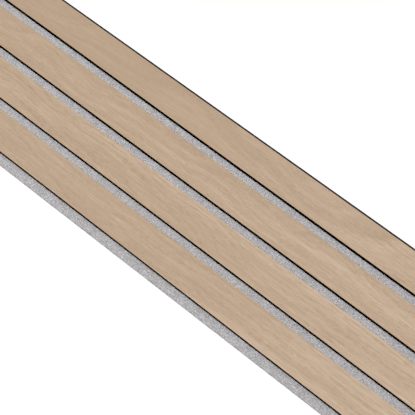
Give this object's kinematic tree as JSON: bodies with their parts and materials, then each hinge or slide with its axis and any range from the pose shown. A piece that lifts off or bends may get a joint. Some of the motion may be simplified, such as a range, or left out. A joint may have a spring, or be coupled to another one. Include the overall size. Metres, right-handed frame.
{
  "type": "acoustic slat wall panel",
  "caption": "Flat acoustic wall panel: oak-faced slats with black sides on a sheet of grey felt, with a felt margin on one side and a thin black edging on the other.",
  "frame": {"origin": "middle of the felt's back, which lies against the wall or on the floor", "axes": "+X along the slats, +Y across them towards the black edging, +Z out of the wall, to the oak faces"},
  "size_m": [2.4, 0.307, 0.021],
  "materials": {
    "oak": "matt lacquered oak sheet, grain along the slat",
    "black_core": "fibreboard dyed black through, sawn sides",
    "felt": "pressed grey polyester felt",
    "black_edging": "matt black edging",
    "staple_wire": "zinc coated flat wire"
  },
  "bodies": {
    "root": {"felt_backing": "felt", "slat_core_1": "black_core", "slat_core_2": "black_core", "slat_core_3": "black_core", "slat_core_4": "black_core", "oak_face_1": "oak", "oak_face_2": "oak", "oak_face_3": "oak", "oak_face_4": "oak", "edge_strip": "black_edging", "staples": "staple_wire"}
  },
  "joints": []
}
